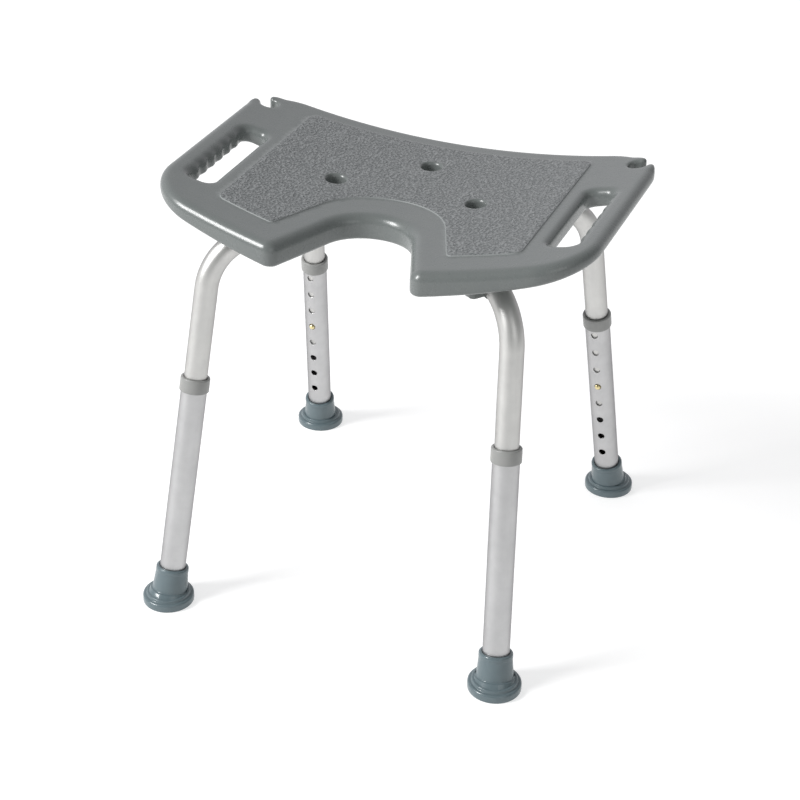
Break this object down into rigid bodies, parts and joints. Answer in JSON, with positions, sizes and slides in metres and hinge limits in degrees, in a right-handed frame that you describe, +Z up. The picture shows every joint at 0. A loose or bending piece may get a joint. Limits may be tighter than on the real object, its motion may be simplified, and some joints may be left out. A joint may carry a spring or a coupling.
{
  "type": "shower stool",
  "caption": "Backless shower stool: dished plastic seat with front cut-out and end handles, crossed tube frame, button-locked telescopic legs.",
  "frame": {"origin": "on the floor under the centre of the seat, midway between the four feet", "axes": "+X to the sitter's right along the seat's long side, +Y towards the straight back edge, +Z up"},
  "size_m": [0.485, 0.476, 0.474],
  "materials": {
    "seat_plastic": "satin",
    "anodised_aluminium": "satin",
    "grey_plastic": "matte",
    "foot_rubber": "matte",
    "steel": "brushed",
    "brass": "polished"
  },
  "bodies": {
    "seat_frame": {"seat_panel": "seat_plastic", "frame_tube_lower": "anodised_aluminium", "frame_tube_upper": "anodised_aluminium", "saddle_front_left": "grey_plastic", "saddle_front_right": "grey_plastic", "saddle_rear_left": "grey_plastic", "saddle_rear_right": "grey_plastic", "saddle_screws": "steel", "cross_bolt": "steel", "cross_washer": "steel", "seat_insert": "brass", "snap_spring_front_left": "steel", "snap_spring_front_right": "steel", "snap_spring_rear_left": "steel", "snap_spring_rear_right": "steel"},
    "leg_front_left": {"lower_tube_front_left": "anodised_aluminium", "collar_front_left": "grey_plastic", "foot_front_left": "foot_rubber", "foot_washer_front_left": "steel"},
    "leg_front_right": {"lower_tube_front_right": "anodised_aluminium", "collar_front_right": "grey_plastic", "foot_front_right": "foot_rubber", "foot_washer_front_right": "steel"},
    "leg_rear_left": {"lower_tube_rear_left": "anodised_aluminium", "collar_rear_left": "grey_plastic", "foot_rear_left": "foot_rubber", "foot_washer_rear_left": "steel"},
    "leg_rear_right": {"lower_tube_rear_right": "anodised_aluminium", "collar_rear_right": "grey_plastic", "foot_rear_right": "foot_rubber", "foot_washer_rear_right": "steel"},
    "button_front_left": {"snap_button_front_left": "brass"},
    "button_front_right": {"snap_button_front_right": "brass"},
    "button_rear_left": {"snap_button_rear_left": "brass"},
    "button_rear_right": {"snap_button_rear_right": "brass"}
  },
  "joints": [
    {"name": "leg_slide_front_left", "type": "slide", "parent": "seat_frame", "child": "leg_front_left", "axis": [-0.0582, -0.1965, -0.9788], "range_m": [-0.1016, 0.0762], "deforming": ["snap_button_front_left"]},
    {"name": "leg_slide_front_right", "type": "slide", "parent": "seat_frame", "child": "leg_front_right", "axis": [0.0582, -0.1965, -0.9788], "range_m": [-0.1016, 0.0762], "deforming": ["snap_button_front_right"]},
    {"name": "leg_slide_rear_left", "type": "slide", "parent": "seat_frame", "child": "leg_rear_left", "axis": [-0.0582, 0.1965, -0.9788], "range_m": [-0.1016, 0.0762], "deforming": ["snap_button_rear_left"]},
    {"name": "leg_slide_rear_right", "type": "slide", "parent": "seat_frame", "child": "leg_rear_right", "axis": [0.0582, 0.1965, -0.9788], "range_m": [-0.1016, 0.0762], "deforming": ["snap_button_rear_right"]},
    {"name": "button_press_front_left", "type": "slide", "parent": "seat_frame", "child": "button_front_left", "axis": [-0.0117, 0.9805, -0.1961], "range_m": [-0.0046, 0], "stiffness_N_per_m": 1200, "springref_m": 0.004, "deforming": ["snap_spring_front_left"]},
    {"name": "button_press_front_right", "type": "slide", "parent": "seat_frame", "child": "button_front_right", "axis": [0.0117, 0.9805, -0.1961], "range_m": [-0.0046, 0], "stiffness_N_per_m": 1200, "springref_m": 0.004, "deforming": ["snap_spring_front_right"]},
    {"name": "button_press_rear_left", "type": "slide", "parent": "seat_frame", "child": "button_rear_left", "axis": [-0.0117, -0.9805, -0.1961], "range_m": [-0.0046, 0], "stiffness_N_per_m": 1200, "springref_m": 0.004, "deforming": ["snap_spring_rear_left"]},
    {"name": "button_press_rear_right", "type": "slide", "parent": "seat_frame", "child": "button_rear_right", "axis": [0.0117, -0.9805, -0.1961], "range_m": [-0.0046, 0], "stiffness_N_per_m": 1200, "springref_m": 0.004, "deforming": ["snap_spring_rear_right"]}
  ]
}
